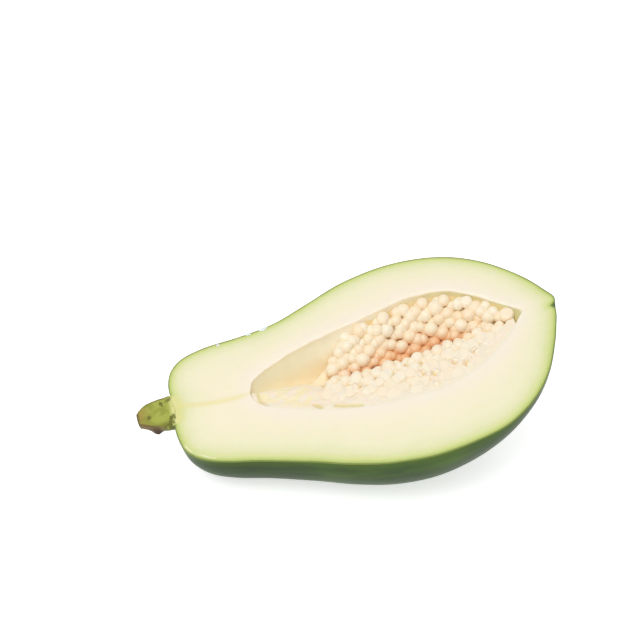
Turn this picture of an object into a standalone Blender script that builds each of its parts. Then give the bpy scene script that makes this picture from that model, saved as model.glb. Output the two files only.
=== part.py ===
"""Half of an unripe green papaya, cut lengthwise and lying on its rounded back.

Everything is drawn in the fruit's own frame, in millimetres: X runs from the stem to the
blossom end, Y runs across to the far edge, and the knife's plane is Z = 0 with the fruit
below it. The empty "resting_pose" then turns that frame into the row frame, in metres.
"""

import math
import random

import bmesh
import bpy
from mathutils import Quaternion, Vector

for old in list(bpy.data.objects):
    bpy.data.objects.remove(old)

MM = 0.001

# How the half lies: it balances on the flat between two of its five lobes.
FACE_TILT = math.radians(11.3)
FACE_INCLINE = math.radians(12.7)
STEM_BASE_AT = Vector((-102.92, 6.84, 39.2)) * MM

# Outline of the fruit where the knife went through: (x, y) on the far edge, (x, y) on the
# near edge, how strong the five lobes are there (below zero they are turned by half a lobe),
# and how deep the fruit is below the cut as a share of its half width. The first row is by
# the stem and the last at the blossom end.
FRUIT_STATIONS = (
    (1.5, 1.0, 1.5, 1.0, 0.0, 1.0),
    (0.0, 11.0, -0.8, -9.0, 0.02, 1.0),
    (0.0, 21.5, 0.0, -20.0, 0.03, 1.02),
    (3.4, 30.5, 3.0, -29.3, 0.03, 1.04),
    (11.0, 37.0, 11.6, -37.5, 0.028, 1.09),
    (25.0, 40.3, 25.0, -43.5, 0.025, 1.12),
    (46.0, 40.9, 46.0, -50.0, 0.025, 1.12),
    (70.0, 43.6, 70.0, -58.7, 0.025, 1.1),
    (92.0, 51.0, 92.0, -67.6, 0.025, 1.045),
    (115.0, 59.0, 115.0, -74.4, 0.024, 0.99),
    (139.0, 62.5, 139.0, -77.4, 0.016, 0.97),
    (161.0, 61.4, 163.0, -75.8, 0.0, 0.95),
    (180.0, 56.4, 184.0, -70.7, -0.025, 0.92),
    (197.0, 47.3, 202.5, -58.6, -0.05, 0.88),
    (211.0, 35.3, 215.0, -43.6, -0.07, 0.86),
    (222.0, 22.8, 224.0, -25.6, -0.06, 0.86),
    (229.5, 11.2, 229.0, -12.2, -0.02, 0.88),
    (232.6, 5.6, 230.6, -6.8, 0.0, 0.9),
    (232.4, 2.2, 230.8, -3.4, 0.0, 0.95),
    (229.6, -0.8, 229.6, -0.8, 0.0, 0.95),
)
LOBES = 5

# The seed cavity, a five-armed star in section with one arm on the far edge of the cut.
CAVITY_STATIONS = (
    (46.0, -1.5, 46.0, -1.5, 0.0, 0.86),
    (50.0, 7.5, 50.0, -10.5, 0.03, 0.86),
    (63.0, 14.5, 63.0, -18.0, 0.05, 0.86),
    (80.0, 20.3, 80.0, -25.0, 0.06, 0.86),
    (98.0, 24.6, 98.0, -30.3, 0.08, 0.86),
    (118.0, 28.2, 118.0, -34.3, 0.1, 0.86),
    (140.0, 32.6, 140.0, -35.5, 0.1, 0.86),
    (158.0, 34.3, 158.0, -34.2, 0.1, 0.86),
    (174.0, 31.4, 174.0, -30.2, 0.1, 0.86),
    (188.0, 23.0, 188.0, -22.8, 0.08, 0.86),
    (200.0, 12.8, 200.0, -12.6, 0.06, 0.86),
    (213.0, 2.0, 213.0, 2.0, 0.0, 0.86),
)
CAVITY_TIP_RISE = 0.5
CAVITY_FINE_STEPS = 6

# What the pieces keep clear of each other, and how much more the room for the seeds draws
# back at its two sharp tips.
CLEARANCE = 0.3
TIP_DRAW_BACK = 2

# The bed of white tissue that the seeds grow from, filling the near side of the cavity and
# lining its far wall. These are points across its top, as shares of the cavity's half width:
# first where it is full of seeds, then in the bare end by the stem.
SEED_BED = (
    (1.02, -0.09),
    (0.76, -0.24),
    (0.5, -0.43),
    (0.22, -0.64),
    (0.08, -0.68),
    (-0.06, -0.5),
    (-0.2, -0.22),
    (-0.4, -0.11),
    (-0.7, -0.1),
    (-1.02, -0.08),
)
BARE_BED = (
    (1.02, -0.7),
    (0.76, -0.74),
    (0.5, -0.76),
    (0.28, -0.66),
    (0.1, -0.42),
    (-0.04, -0.2),
    (-0.2, -0.1),
    (-0.4, -0.06),
    (-0.7, -0.05),
    (-1.02, -0.04),
)
CREVICE_POINT = 4
BED_START = 47.0
BED_END = 206.0
BED_STEP = 7.0
BED_FLOOR = -50.0
BED_END_POINT = 1.0
BED_BUILD_UP = 14.0

# The seeds: soft pale beads in staggered rows over the bed, each strayed a little from its
# place. They start further from the stem on the far wall than on the near side.
SEED_RADIUS = 3.5
SEED_SPREAD = 0.13
SEED_SQUASH = 1.1
SEED_SIDES = 8
SEED_RINGS = 4
SEEDS_FROM = 93.0
SEEDS_FROM_FAR = 0.05
SEEDS_FROM_NEAR = 0.35
SEEDS_TO = 203.0
COLUMN_PITCH = 6.3
ROW_PITCH = 7.3
ROW_STAGGER = (0.75, 0.25)
SEED_STRAY = 0.9
SEED_RISE = (0.15, 0.55)
SEED_DRAW = 5

# The stem that the fruit hung from, cut off slantwise: (x, y, z) of its middle and radius.
STEM_STATIONS = (
    (1.6, 1.9, -0.4, 9.6),
    (0.9, 1.9, -0.4, 11.1),
    (-1.5, 2.0, -0.4, 11.1),
    (-4.5, 2.1, -0.4, 10.6),
    (-8.0, 2.3, -0.4, 10.1),
    (-11.5, 2.5, -0.5, 9.4),
    (-15.0, 2.6, -0.6, 8.4),
    (-18.3, 2.2, -0.7, 6.8),
    (-21.3, 1.6, -0.8, 4.6),
)
STEM_SLANT = 0.05
SLANT_ACROSS = 0.79
SLANT_UP = 0.62
STEM_KNOBS = ((-12.6, 214.0, 2.6), (-5.5, 205.0, 0.8), (-6.5, 310.0, 1.0))
KNOB_LENGTH = 3.0
KNOB_WIDTH = math.radians(26)
SHAVED_FROM = (1.6, 0.0, 0.0)
SHAVED_FACING = (0.08, 0.0, 1.0)

FRUIT_SIDES = 28
RINGS_PER_STATION = 2
CAVITY_SIDES = 36
STEM_SIDES = 20
TABLE_SIDE = 1.0
SHARP_EDGE = math.radians(40)


def material(name, colour, roughness):
    """A plain finish: colour, roughness, no metal."""
    made = bpy.data.materials.new(name)
    made.use_nodes = True
    shader = made.node_tree.nodes["Principled BSDF"]
    shader.inputs["Base Color"].default_value = (*colour, 1.0)
    shader.inputs["Roughness"].default_value = roughness
    shader.inputs["Metallic"].default_value = 0.0
    return made


SKIN = material("green_skin", (0.13, 0.24, 0.045), 0.35)
FLESH = material("pale_flesh", (0.86, 0.84, 0.6), 0.5)
SEED = material("pale_seed", (0.92, 0.82, 0.68), 0.35)
STEM = material("stem_bark", (0.42, 0.45, 0.12), 0.6)

resting_pose = bpy.data.objects.new("resting_pose", None)
bpy.context.scene.collection.objects.link(resting_pose)
resting_pose.location = STEM_BASE_AT
resting_pose.rotation_euler = (FACE_TILT, -FACE_INCLINE, 0.0)


def smooth(stations, spans):
    """Every station joined by a smooth curve, as a list with `spans` steps between stations."""
    rows = [Vector(row) for row in stations]
    knots = [0.0]
    for before, after in zip(rows, rows[1:]):
        knots.append(knots[-1] + math.sqrt((after - before).length))
    slopes = []
    for i in range(len(rows)):
        low, high = max(i - 1, 0), min(i + 1, len(rows) - 1)
        slopes.append((rows[high] - rows[low]) / (knots[high] - knots[low]))
    made = []
    for i in range(len(rows) - 1):
        width = knots[i + 1] - knots[i]
        for k in range(spans):
            t = k / spans
            made.append(
                rows[i] * (2 * t**3 - 3 * t**2 + 1)
                + slopes[i] * width * (t**3 - 2 * t**2 + t)
                + rows[i + 1] * (3 * t**2 - 2 * t**3)
                + slopes[i + 1] * width * (t**3 - t**2)
            )
    return [*made, rows[-1]]


def section(station, angles, inset=0.0):
    """The lobed ring of points that hangs on one far and near pair of the outline."""
    far_x, far_y, near_x, near_y, lobe, depth = station
    middle = Vector(((far_x + near_x) / 2, (far_y + near_y) / 2, 0))
    half = Vector(((far_x - near_x) / 2, (far_y - near_y) / 2, 0))
    half *= max(half.length - inset, 0.0) / max(half.length, 1e-6)
    ring = []
    for angle in angles:
        reach = 1 + lobe * (math.cos(LOBES * angle) - math.cos(angle))
        across = half * reach * math.cos(angle)
        down = Vector((0, 0, half.length * depth * reach * math.sin(angle)))
        ring.append(middle + across + down)
    return ring


def loft(name, rings, start, end, finish, round_ring):
    """A closed solid through the rings, drawn to a point at each end.

    An open ring, such as the lower half of a section, is closed by one flat face.
    """
    mesh = bmesh.new()
    rows = [[mesh.verts.new(p * MM) for p in ring] for ring in rings]
    tips = [mesh.verts.new(p * MM) for p in (start, end)]
    sides = len(rows[0])
    steps = range(sides if round_ring else sides - 1)
    for row, after in zip(rows, rows[1:]):
        for k in steps:
            j = (k + 1) % sides
            mesh.faces.new((row[k], row[j], after[j], after[k]))
    for k in steps:
        j = (k + 1) % sides
        mesh.faces.new((tips[0], rows[0][j], rows[0][k]))
        mesh.faces.new((tips[1], rows[-1][k], rows[-1][j]))
    if not round_ring:
        rim = [tips[0], *(row[0] for row in rows), tips[1], *(row[-1] for row in reversed(rows))]
        mesh.faces.new(rim)
    bmesh.ops.recalc_face_normals(mesh, faces=mesh.faces)
    return finished(name, mesh, finish)


def finished(name, mesh, finish):
    """A new object of that mesh and finish, drawn in the fruit's own frame."""
    data = bpy.data.meshes.new(name)
    mesh.to_mesh(data)
    mesh.free()
    data.materials.append(finish)
    made = bpy.data.objects.new(name, data)
    bpy.context.scene.collection.objects.link(made)
    made.parent = resting_pose
    return made


def as_cutter(made):
    """Hides a helper, so that it cuts and isn't a piece of the fruit."""
    made.hide_render = True
    made.display_type = "WIRE"
    return made


def boolean(target, operation, other):
    """Cuts or joins, with each new face keeping the finish of the solid it comes from."""
    step = target.modifiers.new(operation.lower() + "_" + other.name, "BOOLEAN")
    step.operation = operation
    step.object = other
    step.material_mode = "TRANSFER"


def apply_modifiers(made):
    """Makes the mesh what its modifiers show."""
    graph = bpy.context.evaluated_depsgraph_get()
    made.data = bpy.data.meshes.new_from_object(made.evaluated_get(graph))
    made.modifiers.clear()


def keep_one_body(made):
    """Drops loose scraps and fills sealed pockets: only the largest shell stays, as triangles."""
    mesh = bmesh.new()
    mesh.from_mesh(made.data)
    shells = []
    for first in mesh.faces:
        if first.tag:
            continue
        first.tag = True
        shell = [first]
        for face in shell:
            for edge in face.edges:
                for other in edge.link_faces:
                    if not other.tag:
                        other.tag = True
                        shell.append(other)
        shells.append(shell)
    shells.sort(key=len)
    for scrap in shells[:-1]:
        bmesh.ops.delete(mesh, geom=scrap, context="FACES")
    bmesh.ops.triangulate(mesh, faces=mesh.faces)
    mesh.to_mesh(made.data)
    mesh.free()


def half_turn(sides):
    """Angles from the near edge, under the fruit, to the far edge."""
    return [math.pi * (1 + k / sides) for k in range(sides + 1)]


def whole_turn(sides):
    """Angles all round, set so that no point lies in the plane of the cut."""
    return [2 * math.pi * (k + 0.5) / sides for k in range(sides)]


def knife(made, point, facing):
    """Cuts off what lies beyond a plane, and closes the solid there with a flat face."""
    mesh = bmesh.new()
    mesh.from_mesh(made.data)
    cut = bmesh.ops.bisect_plane(
        mesh,
        geom=[*mesh.verts, *mesh.edges, *mesh.faces],
        plane_co=Vector(point) * MM,
        plane_no=facing,
        clear_outer=True,
    )
    rim = [part for part in cut["geom_cut"] if isinstance(part, bmesh.types.BMEdge)]
    bmesh.ops.holes_fill(mesh, edges=rim)
    bmesh.ops.recalc_face_normals(mesh, faces=mesh.faces)
    mesh.to_mesh(made.data)
    mesh.free()


def make_cavity(name, inset):
    """The hollow in the middle of the fruit as a closed spindle, or one a little smaller."""
    rows = smooth(CAVITY_STATIONS, RINGS_PER_STATION)
    angles = whole_turn(CAVITY_SIDES)
    rings = [section(row, angles, inset) for row in rows[1:-1]]
    back = TIP_DRAW_BACK * inset
    start = Vector((rows[0][0] + back, rows[0][1], CAVITY_TIP_RISE))
    end = Vector((rows[-1][0] - back, rows[-1][1], CAVITY_TIP_RISE))
    return as_cutter(loft(name, rings, start, end, FLESH, True))


def make_fruit(cavity, stem_seat, table):
    """Skin and flesh grown as one piece: the lower half of the fruit, hollowed."""
    rows = smooth(FRUIT_STATIONS, RINGS_PER_STATION)
    angles = half_turn(FRUIT_SIDES)
    rings = [section(row, angles) for row in rows[1:-1]]
    ends = [Vector((row[0], row[1], 0)) for row in (rows[0], rows[-1])]
    fruit = loft("fruit_half", rings, *ends, SKIN, False)
    fruit.data.materials.append(FLESH)
    cut_face = max(fruit.data.polygons, key=lambda face: face.area)
    cut_face.material_index = 1
    for cutter in (cavity, stem_seat, table):
        boolean(fruit, "DIFFERENCE", cutter)
    return fruit


def cavity_at(x):
    """Middle and half width of the cavity, in the plane of the cut, at x."""
    rows = smooth(CAVITY_STATIONS, CAVITY_FINE_STEPS)
    for before, after in zip(rows, rows[1:]):
        if before[0] <= x <= after[0]:
            share = (x - before[0]) / (after[0] - before[0])
            far = before[1] + share * (after[1] - before[1])
            near = before[3] + share * (after[3] - before[3])
            return (far + near) / 2, (far - near) / 2
    raise ValueError(f"no cavity at {x}")


def seeds_start(y):
    """How far from the stem the seeds begin, at this place across the cavity."""
    return SEEDS_FROM + (SEEDS_FROM_FAR * y * y if y > 0 else SEEDS_FROM_NEAR * y)


def bed_top(x):
    """The bed's top across the cavity at x, from the far wall to the near wall."""
    middle, half = cavity_at(x)
    line = []
    for bare, full in zip(BARE_BED, SEED_BED):
        past = x - seeds_start(middle + half * bare[0])
        built = min(max(past / BED_BUILD_UP + 1.0, 0.0), 1.0)
        y = bare[0] + built * (full[0] - bare[0])
        z = bare[1] + built * (full[1] - bare[1])
        line.append(Vector((x, middle + half * y, half * z)))
    return line


def make_bed():
    """A block under the bed's top surface, wider and deeper than the cavity."""
    count = round((BED_END - BED_START) / BED_STEP)
    rings = []
    for k in range(count + 1):
        x = BED_START + (BED_END - BED_START) * k / count
        top = bed_top(x)
        first, last = top[0].copy(), top[-1].copy()
        first.z = last.z = BED_FLOOR
        rings.append([first, *top, last])
    tips = (BED_START - BED_END_POINT, BED_END + BED_END_POINT)
    ends = [Vector((x, 0, BED_FLOOR / 2)) for x in tips]
    return loft("seed_mass", rings, *ends, SEED, True)


def along(line, distance):
    """The point that far along a line of points, and which way the line's top faces."""
    for before, after in zip(line, line[1:]):
        step = after - before
        if distance <= step.length:
            break
        distance -= step.length
    facing = Vector((0, step.z, -step.y)).normalized()
    return before + step.normalized() * distance, facing


def bank_places(bank, column, draw):
    """Seeds of one column on one bank of the bed, between the wall and the crevice."""
    length = sum((b - a).length for a, b in zip(bank, bank[1:])) - 2 * SEED_RADIUS
    rows = round(length / ROW_PITCH)
    for row in range(rows):
        distance = SEED_RADIUS + length * (row + ROW_STAGGER[column % 2]) / rows
        distance += draw.uniform(-SEED_STRAY, SEED_STRAY)
        size = SEED_RADIUS * (1 + draw.uniform(-SEED_SPREAD, SEED_SPREAD))
        rise = size * draw.uniform(*SEED_RISE)
        turn = draw.uniform(0, math.pi)
        root, facing = along(bank, distance)
        root.x += draw.uniform(-SEED_STRAY, SEED_STRAY)
        if root.x > seeds_start(root.y):
            yield root + facing * rise, facing, turn, size


def seed_places():
    """(middle, way it grows, turn, size) of every seed: staggered rows over the bed."""
    draw = random.Random(SEED_DRAW)
    places = []
    for column in range(round((SEEDS_TO - BED_START) / COLUMN_PITCH)):
        line = bed_top(SEEDS_TO - column * COLUMN_PITCH)
        for bank in (line[:CREVICE_POINT + 1], line[CREVICE_POINT:]):
            places.extend(bank_places(bank, column, draw))
    return places


def make_seed_mass():
    """The bed and all its seeds as one body, trimmed to the cavity and by the knife."""
    mass = make_bed()
    seeds = bpy.data.collections.new("seeds")
    bpy.context.scene.collection.children.link(seeds)
    for point, facing, turn, size in seed_places():
        ball = bmesh.new()
        bmesh.ops.create_uvsphere(
            ball, u_segments=SEED_SIDES, v_segments=SEED_RINGS, radius=size * MM
        )
        data = bpy.data.meshes.new("seed")
        ball.to_mesh(data)
        ball.free()
        seed = bpy.data.objects.new("seed", data)
        seed.parent = resting_pose
        seed.location = point * MM
        seed.rotation_mode = "QUATERNION"
        seed.rotation_quaternion = facing.to_track_quat("Z", "X") @ Quaternion((0, 0, 1), turn)
        seed.scale.z = SEED_SQUASH
        seeds.objects.link(seed)
    joined = mass.modifiers.new("seeds_grow_from_bed", "BOOLEAN")
    joined.operation = "UNION"
    joined.operand_type = "COLLECTION"
    joined.collection = seeds
    joined.solver = "MANIFOLD"
    bpy.context.view_layer.update()
    apply_modifiers(mass)
    for seed in list(seeds.objects):
        bpy.data.objects.remove(seed)
    bpy.data.collections.remove(seeds)

    room = make_cavity("room_for_seeds", CLEARANCE)
    knife(room, (0, 0, 0), (0, 0, 1))
    boolean(mass, "INTERSECT", room)
    mass.modifiers[-1].solver = "MANIFOLD"
    apply_modifiers(mass)
    keep_one_body(mass)
    return mass


def stem_rings(grow=0.0):
    """Rings round the stem, slanted more and more towards its cut end, with its knobs."""
    rings = []
    last = len(STEM_STATIONS) - 1
    for i, (x, y, z, radius) in enumerate(STEM_STATIONS):
        ring = []
        for angle in whole_turn(STEM_SIDES):
            reach = radius + grow
            for knob_x, knob_turn, height in STEM_KNOBS:
                turn = math.remainder(angle - math.radians(knob_turn), 2 * math.pi)
                near = ((x - knob_x) / KNOB_LENGTH) ** 2 + (turn / KNOB_WIDTH) ** 2
                reach += height * math.exp(-near)
            across, up = reach * math.cos(angle), reach * math.sin(angle)
            slant = STEM_SLANT * (SLANT_ACROSS * across + SLANT_UP * up) * i / last
            ring.append(Vector((x - slant, y + across, z + up)))
        rings.append(ring)
    return rings


def make_stem():
    """The stem as one solid, its upper side shaved off by the knife."""
    rings = stem_rings()
    ends = [Vector(STEM_STATIONS[i][:3]) for i in (0, -1)]
    stem = loft("stem", rings, *ends, STEM, True)
    knife(stem, SHAVED_FROM, SHAVED_FACING)
    return stem


def make_stem_seat():
    """The shallow seat in the fruit that the foot of the stem stands in, just clear of it."""
    rings = stem_rings(CLEARANCE)
    for point in rings[0]:
        point.x += CLEARANCE
    ends = [Vector(STEM_STATIONS[i][:3]) for i in (0, -1)]
    ends[0].x += CLEARANCE
    return as_cutter(loft("stem_seat", rings, *ends, STEM, True))


def make_table():
    """Everything below the surface that the half lies on; it flattens the resting spot."""
    slab = bmesh.new()
    bmesh.ops.create_cube(slab, size=TABLE_SIDE)
    bmesh.ops.translate(slab, verts=slab.verts, vec=(0, 0, -TABLE_SIDE / 2))
    table = finished("table", slab, SKIN)
    table.parent = None
    return as_cutter(table)


cavity = make_cavity("cavity", 0.0)
stem = make_stem()
fruit = make_fruit(cavity, make_stem_seat(), make_table())
seed_mass = make_seed_mass()
for piece in (stem, fruit, seed_mass):
    piece.data.shade_smooth()
    piece.data.set_sharp_from_angle(angle=SHARP_EDGE)
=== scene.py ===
"""Half of an unripe green papaya, cut lengthwise, lying on its skin on a pale surface."""

import math
import random

import bmesh
import bpy
import numpy as np
from mathutils import Euler, Matrix, Quaternion, Vector, noise


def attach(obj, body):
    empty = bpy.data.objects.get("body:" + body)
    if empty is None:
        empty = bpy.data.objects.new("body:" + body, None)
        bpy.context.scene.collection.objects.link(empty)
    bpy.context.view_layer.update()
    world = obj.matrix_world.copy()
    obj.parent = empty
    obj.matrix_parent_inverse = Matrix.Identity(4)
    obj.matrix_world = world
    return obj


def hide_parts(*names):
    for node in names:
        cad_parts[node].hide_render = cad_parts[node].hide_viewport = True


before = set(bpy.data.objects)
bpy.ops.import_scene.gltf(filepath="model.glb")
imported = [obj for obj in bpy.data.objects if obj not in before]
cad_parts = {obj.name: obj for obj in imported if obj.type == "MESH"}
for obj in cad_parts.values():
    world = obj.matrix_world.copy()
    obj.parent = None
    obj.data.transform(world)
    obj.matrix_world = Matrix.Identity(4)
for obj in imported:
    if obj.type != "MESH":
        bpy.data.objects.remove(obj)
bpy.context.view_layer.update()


# The half fruit. Skin and flesh grew as one piece, pear shaped with five soft lobes, and one
# stroke of a knife halved it lengthwise, through the stem and the seed hollow. It is drawn in
# the fruit's own frame in millimetres: X from stem to blossom end, the knife's plane at Z = 0.
MM = 0.001
FACE_TILT = math.radians(11.3)
FACE_INCLINE = math.radians(12.7)
STEM_BASE_AT = Vector((-102.92, 6.84, 39.2)) * MM
LOBES = 5

# (x, y) of the far edge, (x, y) of the near edge, strength of the lobes, depth by half width.
FRUIT_STATIONS = (
    (1.5, 1.0, 1.5, 1.0, 0.0, 1.0),
    (0.0, 11.0, -0.8, -9.0, 0.02, 1.0),
    (0.0, 21.5, 0.0, -20.0, 0.03, 1.02),
    (3.4, 30.5, 3.0, -29.3, 0.03, 1.04),
    (11.0, 37.0, 11.6, -37.5, 0.028, 1.09),
    (25.0, 40.3, 25.0, -43.5, 0.025, 1.12),
    (46.0, 40.9, 46.0, -50.0, 0.025, 1.12),
    (70.0, 43.6, 70.0, -58.7, 0.025, 1.1),
    (92.0, 51.0, 92.0, -67.6, 0.025, 1.045),
    (115.0, 59.0, 115.0, -74.4, 0.024, 0.99),
    (139.0, 62.5, 139.0, -77.4, 0.016, 0.97),
    (161.0, 61.4, 163.0, -75.8, 0.0, 0.95),
    (180.0, 56.4, 184.0, -70.7, -0.025, 0.92),
    (197.0, 47.3, 202.5, -58.6, -0.05, 0.88),
    (211.0, 35.3, 215.0, -43.6, -0.07, 0.86),
    (222.0, 22.8, 224.0, -25.6, -0.06, 0.86),
    (229.5, 11.2, 229.0, -12.2, -0.02, 0.88),
    (232.6, 5.6, 230.6, -6.8, 0.0, 0.9),
    (232.4, 2.2, 230.8, -3.4, 0.0, 0.95),
    (229.6, -0.8, 229.6, -0.8, 0.0, 0.95),
)
HOLLOW_STATIONS = (
    (46.0, -1.5, 46.0, -1.5, 0.0, 0.86),
    (50.0, 7.5, 50.0, -10.5, 0.03, 0.86),
    (63.0, 14.5, 63.0, -18.0, 0.05, 0.86),
    (80.0, 20.3, 80.0, -25.0, 0.06, 0.86),
    (98.0, 24.6, 98.0, -30.3, 0.08, 0.86),
    (118.0, 28.2, 118.0, -34.3, 0.1, 0.86),
    (140.0, 32.6, 140.0, -35.5, 0.1, 0.86),
    (158.0, 34.3, 158.0, -34.2, 0.1, 0.86),
    (174.0, 31.4, 174.0, -30.2, 0.1, 0.86),
    (188.0, 23.0, 188.0, -22.8, 0.08, 0.86),
    (200.0, 12.8, 200.0, -12.6, 0.06, 0.86),
    (213.0, 2.0, 213.0, 2.0, 0.0, 0.86),
)
STATION_SPANS = 12
SKIN_STEPS = 128
HOLLOW_STEPS = 64
CUT_SHARES = (
    0.004, 0.01, 0.02, 0.035, 0.055, 0.08, 0.12, 0.17, 0.23, 0.3, 0.38, 0.46,
    0.54, 0.62, 0.7, 0.78, 0.85, 0.9, 0.94, 0.965, 0.98, 0.99, 0.997,
)
SKIN_DRAW_IN = 0.12
SKIN_DENTS = 0.35
HOLLOW_EDGE_WANDER = 0.7
WANDER_WHERE_WIDER = 10.0
INSIDE_HOLLOW = 60.0
WELD_WITHIN = 0.00002
SHORTEST_EDGE = 0.00001
CREASE = math.radians(50)
# A thin pale line on the cut face, along these points by the near rim.
PALE_LINE_ON_CUT = ((2.6, -24.5), (5.4, -29.0), (9.0, -32.6), (13.5, -35.6), (19.0, -38.4))
PALE_LINE_WIDTH = 0.45
FACE_DENT = 0.16
FACE_GRAIN = 0.03
HOLLOW_EDGE_DROP = 0.55
HOLLOW_EDGE_WIDTH = 0.9
FAR_EDGE_FROM = 6.0
SKIN_EDGE_DROP = 0.12
SKIN_EDGE_WIDTH = 0.3
WALL_FOLD = 0.012
WALL_FOLD_DEPTH = 4.0
WALL_BELOW_CUT = 0.6


def smooth(stations, spans):
    """Every station joined by one smooth curve, with `spans` steps between stations."""
    rows = np.array(stations, float)
    widths = np.sqrt(np.linalg.norm(np.diff(rows, axis=0), axis=1))
    knots = np.concatenate([[0.0], np.cumsum(widths)])
    low = np.maximum(np.arange(len(rows)) - 1, 0)
    high = np.minimum(np.arange(len(rows)) + 1, len(rows) - 1)
    slopes = (rows[high] - rows[low]) / (knots[high] - knots[low])[:, None]
    t = np.arange(spans)[:, None] / spans
    made = [
        rows[i] * (2 * t**3 - 3 * t**2 + 1)
        + slopes[i] * width * (t**3 - 2 * t**2 + t)
        + rows[i + 1] * (3 * t**2 - 2 * t**3)
        + slopes[i + 1] * width * (t**3 - t**2)
        for i, width in enumerate(widths)
    ]
    return np.vstack([*made, rows[-1:]])


def sections(rows, angles, draw_in=0.0):
    """The lobed ring of points that hangs on each far and near pair of an outline."""
    middle, half = (rows[:, 0:2] + rows[:, 2:4]) / 2, (rows[:, 0:2] - rows[:, 2:4]) / 2
    length = np.linalg.norm(half, axis=1)[:, None]
    shrink = np.maximum(length - draw_in, 0) / np.maximum(length, 1e-6)
    reach = shrink * (1 + rows[:, 4, None] * (np.cos(LOBES * angles) - np.cos(angles)))
    across = reach * np.cos(angles)
    x, y = (middle[:, k, None] + half[:, k, None] * across for k in (0, 1))
    return np.stack([x, y, length * rows[:, 5, None] * reach * np.sin(angles)], axis=2)


def travelled(rows):
    """How far along its outline each row is, as a share of the whole."""
    steps = sum(np.linalg.norm(np.diff(rows[:, k:k + 2], axis=0), axis=1) for k in (0, 2))
    way = np.concatenate([[0.0], np.cumsum(steps)])
    return way / way[-1]


def waves(points, size, seed=0.0):
    """Soft noise from -1 to 1 at each point, with waves about that long."""
    shift = Vector((seed * 17.3, seed * 5.1, seed * 9.7))
    values = [noise.noise(Vector(p) / size + shift) for p in points.reshape(-1, 3)]
    return np.array(values).reshape(points.shape[:-1])


def distance_to(points, line):
    """Distance in the knife's plane from each point to the nearest part of a line of points."""
    line = np.array(line, float)[:, :2]
    nearest = np.full(len(points), np.inf)
    for start, step in zip(line[:-1], np.diff(line, axis=0)):
        past = points[:, :2] - start
        share = np.clip(past @ step / max(step @ step, 1e-9), 0, 1)
        nearest = np.minimum(nearest, np.linalg.norm(past - share[:, None] * step, axis=1))
    return nearest


def bump_shape(distance, width):
    """1 where the distance is nothing, falling away to 0 over about that width."""
    return np.exp(-((distance / width) ** 2))


resting = Matrix.Translation(STEM_BASE_AT) @ Euler((FACE_TILT, -FACE_INCLINE, 0)).to_matrix().to_4x4()


def add_piece(name, points, faces, values, finishes, finish_of_face=None):
    """A piece from points in the fruit's own frame, with its values kept for its finish."""
    turn = np.array(resting.to_3x3())
    world = points * MM @ turn.T + np.array(resting.translation)
    world[:, 2] = np.maximum(world[:, 2], 0.0)
    mesh = bpy.data.meshes.new(name)
    mesh.from_pydata(world.tolist(), [], faces)
    own = mesh.attributes.new("own_place", "FLOAT_VECTOR", "POINT")
    own.data.foreach_set("vector", points.astype(np.float32).ravel())
    for label, numbers in values.items():
        layer = mesh.attributes.new(label, "FLOAT", "POINT")
        layer.data.foreach_set("value", np.asarray(numbers, np.float32))
    if finish_of_face is not None:
        mesh.polygons.foreach_set("material_index", np.asarray(finish_of_face, np.int32))
    made = bmesh.new()
    made.from_mesh(mesh)
    bmesh.ops.remove_doubles(made, verts=made.verts, dist=WELD_WITHIN)
    bmesh.ops.dissolve_degenerate(made, edges=made.edges, dist=SHORTEST_EDGE)
    bmesh.ops.recalc_face_normals(made, faces=made.faces)
    made.to_mesh(mesh)
    made.free()
    for finish in finishes:
        mesh.materials.append(finish.material)
    mesh.shade_smooth()
    mesh.set_sharp_from_angle(angle=CREASE)
    piece = bpy.data.objects.new(name, mesh)
    bpy.context.scene.collection.objects.link(piece)
    return piece


def ring_faces(rows, around):
    """Faces between closed rings of points, ring after ring."""
    return [
        (i * around + j, i * around + (j + 1) % around,
         (i + 1) * around + (j + 1) % around, (i + 1) * around + j)
        for i in range(rows - 1)
        for j in range(around)
    ]


class Value:
    """One output in a finish's nodes. Sums and products of values add the Math nodes."""

    def __init__(self, finish, socket):
        self.finish = finish
        self.socket = socket

    def maths(self, operation, first, second):
        return self.finish.node("ShaderNodeMath", {"operation": operation}, {0: first, 1: second})

    def __add__(self, other):
        return self.maths("ADD", self, other)

    def __sub__(self, other):
        return self.maths("SUBTRACT", self, other)

    def __mul__(self, other):
        return self.maths("MULTIPLY", self, other)

    def __truediv__(self, other):
        return self.maths("DIVIDE", self, other)

    def __pow__(self, other):
        return self.maths("POWER", self, other)

    def __radd__(self, other):
        return self.maths("ADD", other, self)

    def __rsub__(self, other):
        return self.maths("SUBTRACT", other, self)

    def __rmul__(self, other):
        return self.maths("MULTIPLY", other, self)

    def __rtruediv__(self, other):
        return self.maths("DIVIDE", other, self)

    def __rpow__(self, other):
        return self.maths("POWER", other, self)

    def step(self, low, high):
        """0 below low, 1 above high, with a smooth passage between."""
        sockets = {"Value": self, "From Min": low, "From Max": high}
        return self.finish.node("ShaderNodeMapRange", {"interpolation_type": "SMOOTHSTEP"}, sockets)

    def bell(self, middle, width):
        """1 at the middle, falling away to 0 on both sides."""
        away = (self - middle) / width
        return math.e ** (0 - away * away)


def shade(red, green, blue):
    """A colour as the eye sees it, 0 to 255, in the numbers that light adds up in."""
    part = [c / 255 for c in (red, green, blue)]
    return (*(p / 12.92 if p <= 0.04045 else ((p + 0.055) / 1.055) ** 2.4 for p in part), 1.0)


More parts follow.
